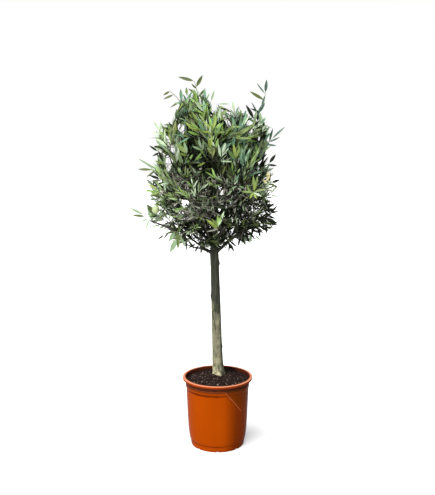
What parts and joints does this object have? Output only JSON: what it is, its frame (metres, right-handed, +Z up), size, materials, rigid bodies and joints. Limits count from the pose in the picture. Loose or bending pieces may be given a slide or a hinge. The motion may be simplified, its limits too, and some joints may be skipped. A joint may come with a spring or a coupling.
{
  "type": "potted olive standard tree",
  "caption": "Young olive tree with a round leafy crown on a clear stem, growing in a round plastic nursery pot of soil.",
  "frame": {"origin": "centre of the pot's flat underside, at ground level", "axes": "+Z up along the pot's axis and the stem, +X to the right of a viewer who stands at -Y"},
  "size_m": [0.5215, 0.4171, 1.3107],
  "materials": {
    "pot_plastic": "terracotta orange injection-moulded plastic, semi-gloss",
    "potting_soil": "moist dark potting mix with bark chips",
    "trunk_bark": "smooth pale beige bark, grey-green and mottled above",
    "bough_bark": "thin dark grey-green bark",
    "olive_leaves": "leathery narrow leaves, grey-green above and silvery beneath, matt"
  },
  "bodies": {
    "root": {"pot": "pot_plastic", "soil": "potting_soil", "trunk": "trunk_bark", "bough_01": "bough_bark", "bough_02": "bough_bark", "bough_03": "bough_bark", "bough_04": "bough_bark", "bough_05": "bough_bark", "bough_06": "bough_bark", "bough_07": "bough_bark", "bough_08": "bough_bark", "bough_09": "bough_bark", "bough_10": "bough_bark", "bough_11": "bough_bark", "bough_12": "bough_bark", "bough_13": "bough_bark", "bough_14": "bough_bark", "bough_15": "bough_bark", "bough_16": "bough_bark", "foliage_01": "olive_leaves", "foliage_02": "olive_leaves", "foliage_03": "olive_leaves", "foliage_04": "olive_leaves", "foliage_05": "olive_leaves", "foliage_06": "olive_leaves", "foliage_07": "olive_leaves", "foliage_08": "olive_leaves", "foliage_09": "olive_leaves", "foliage_10": "olive_leaves", "foliage_11": "olive_leaves", "foliage_12": "olive_leaves", "foliage_13": "olive_leaves", "foliage_14": "olive_leaves", "foliage_15": "olive_leaves", "foliage_16": "olive_leaves"}
  },
  "joints": []
}
